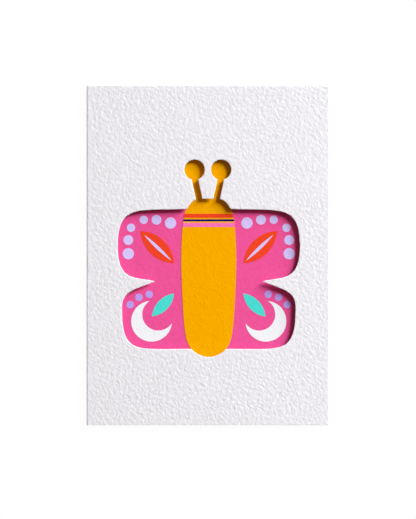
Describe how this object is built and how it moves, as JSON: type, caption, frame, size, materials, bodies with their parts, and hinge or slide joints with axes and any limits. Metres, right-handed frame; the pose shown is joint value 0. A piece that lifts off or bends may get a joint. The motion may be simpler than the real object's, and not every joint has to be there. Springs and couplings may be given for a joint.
{
  "type": "die-cut butterfly card",
  "caption": "Folded greeting card in textured white board with a butterfly-shaped window cut through its front, over a printed sheet set back on foam strips.",
  "frame": {"origin": "centre of the card's footprint, on the plane its back panel lies on", "axes": "+X to the right across the front, away from the folded spine; +Y up the picture, along the spine; +Z out of the front face"},
  "size_m": [0.127, 0.178, 0.0029],
  "materials": {
    "textured_board": "matt white felt-textured board",
    "sheet_paper": "matt white paper",
    "foam": "white foam mounting tape",
    "ink_pink": "matt pink print",
    "ink_yellow": "matt yellow print",
    "ink_red": "matt red-orange print",
    "ink_navy": "matt navy print",
    "ink_rose": "matt rose print",
    "ink_teal": "matt teal print",
    "ink_lilac": "matt pale lilac print",
    "ink_lavender": "matt lavender print",
    "ink_white": "matt unprinted white"
  },
  "bodies": {
    "root": {"cover": "textured_board", "art_sheet": "sheet_paper", "foam_strip_left": "foam", "foam_strip_right": "foam", "foam_strip_top": "foam", "foam_strip_bottom": "foam", "print_pink_ground": "ink_pink", "print_yellow_body": "ink_yellow", "print_red": "ink_red", "print_navy": "ink_navy", "print_rose": "ink_rose", "print_teal": "ink_teal", "print_lilac": "ink_lilac", "print_lavender": "ink_lavender", "print_white": "ink_white"}
  },
  "joints": []
}
